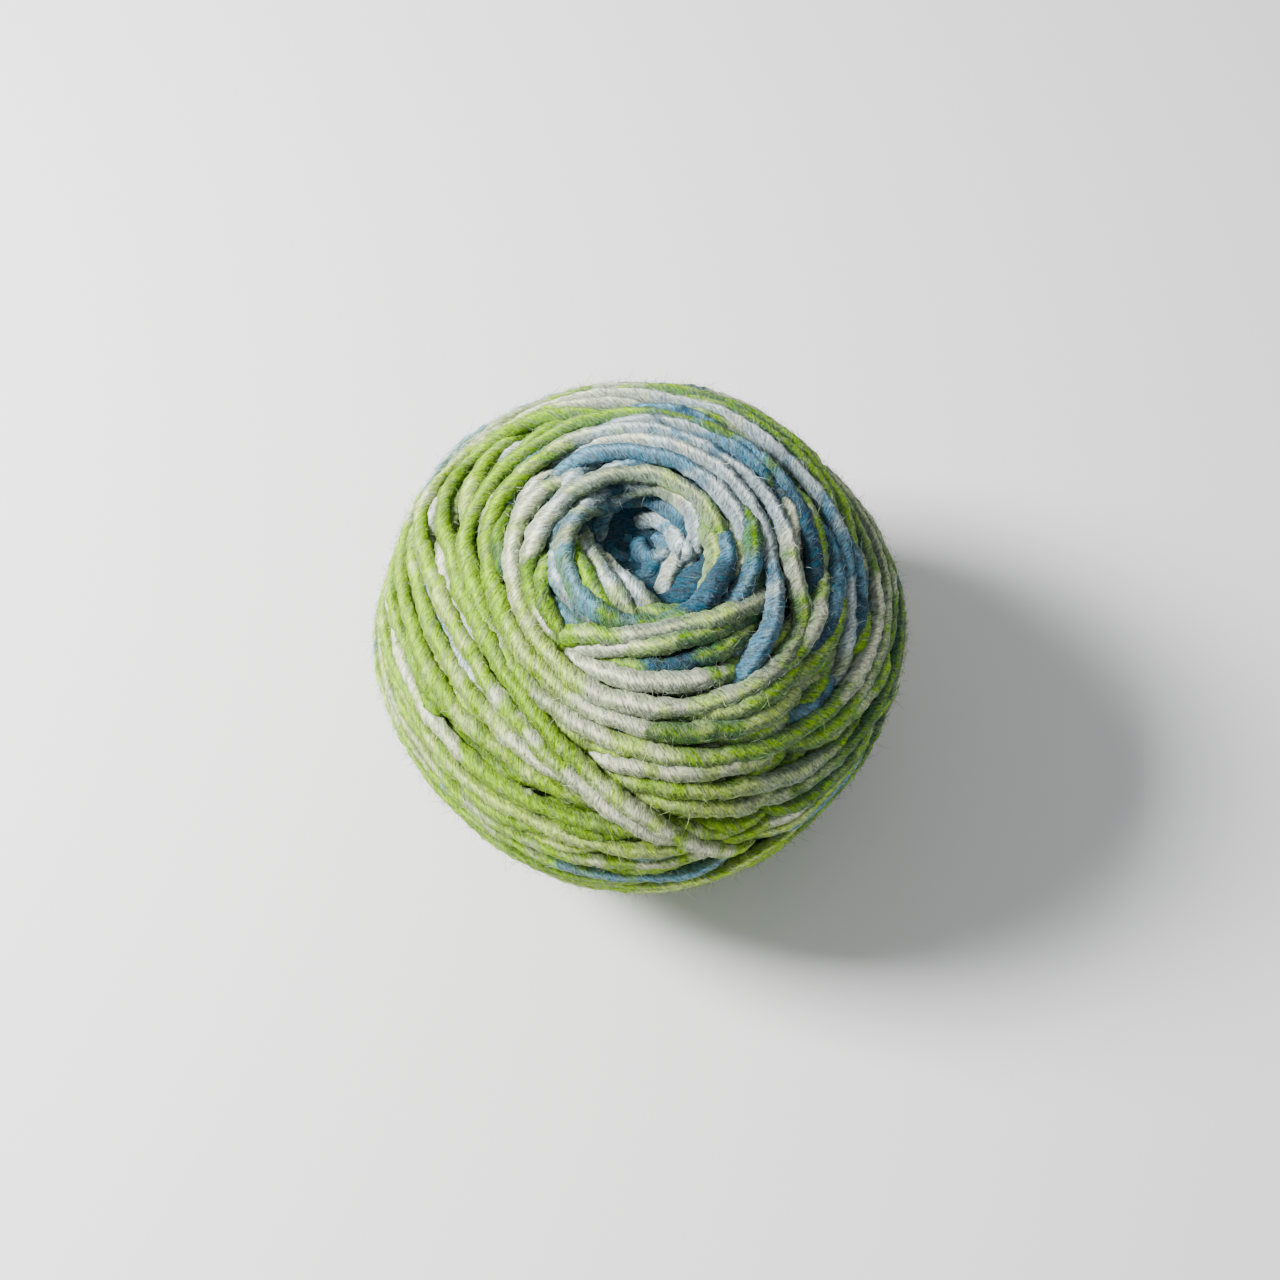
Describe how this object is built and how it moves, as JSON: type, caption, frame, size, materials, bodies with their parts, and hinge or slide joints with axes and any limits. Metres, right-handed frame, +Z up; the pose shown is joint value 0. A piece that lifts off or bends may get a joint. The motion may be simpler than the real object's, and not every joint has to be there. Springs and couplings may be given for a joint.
{
  "type": "ball of yarn",
  "caption": "Hand-wound ball of thick, softly plied, hand-dyed yarn in lime green, white and blue, with a hollow at the top of its winding axis and a small flat spot to rest on.",
  "frame": {"origin": "centre of the flat spot on which the ball rests", "axes": "+Z is up along the winding axis, out of the hollow at the top. -Y is the side nearest the viewer, and +X is to the viewer's right."},
  "size_m": [0.0994, 0.0996, 0.0861],
  "materials": {
    "yarn": "soft, loosely plied wool with a silky sheen and slight fuzz, in lime green, white and blue"
  },
  "bodies": {
    "root": {"yarn_ball": "yarn"}
  },
  "joints": []
}
